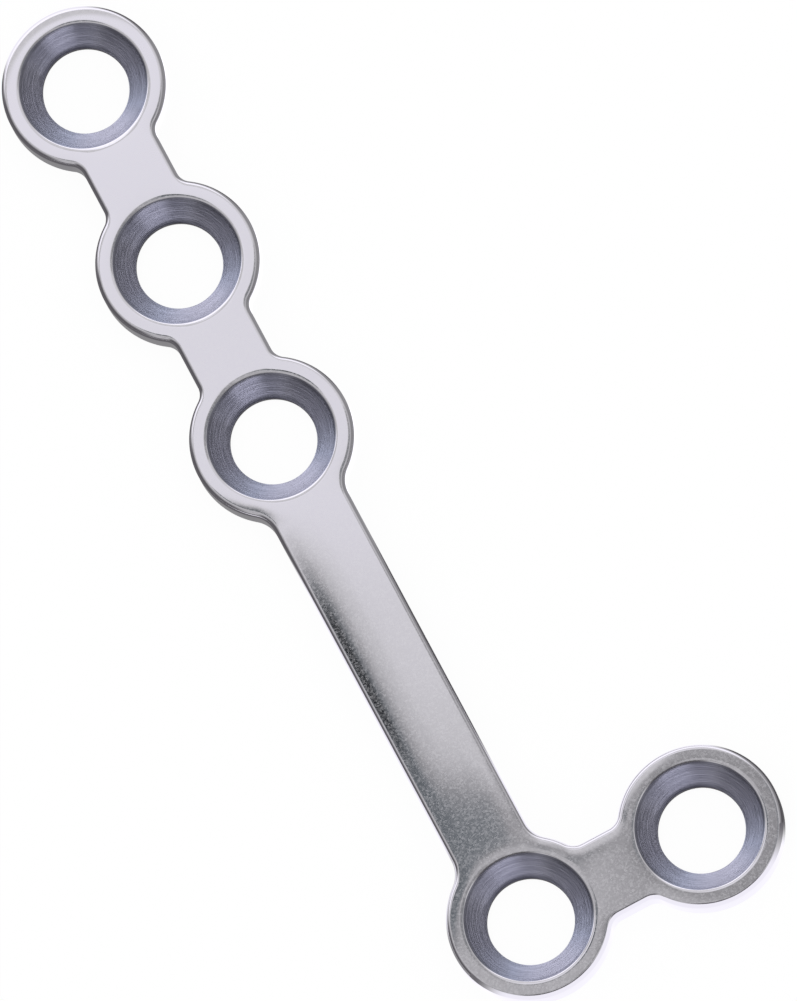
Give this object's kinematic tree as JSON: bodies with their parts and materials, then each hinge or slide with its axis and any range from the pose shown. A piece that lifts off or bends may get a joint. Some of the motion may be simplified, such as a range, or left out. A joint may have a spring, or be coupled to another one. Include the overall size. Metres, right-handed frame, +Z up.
{
  "type": "l-shaped bone plate",
  "caption": "Flat L-shaped bone plate of polished steel: countersunk screw rings joined by short necks and one long straight bar.",
  "frame": {"origin": "on the axis of the corner ring's screw hole, in the plane of the underside", "axes": "+Z up, out of the countersunk screw seats; +Y along the long shaft, from the corner ring to the far ring; +X along the short foot"},
  "size_m": [0.0108, 0.0342, 0.001],
  "materials": {
    "polished_steel": "electropolished implant steel with a fine satin grain; the screw seats are left as turned"
  },
  "bodies": {
    "root": {"bone_plate": "polished_steel"}
  },
  "joints": []
}
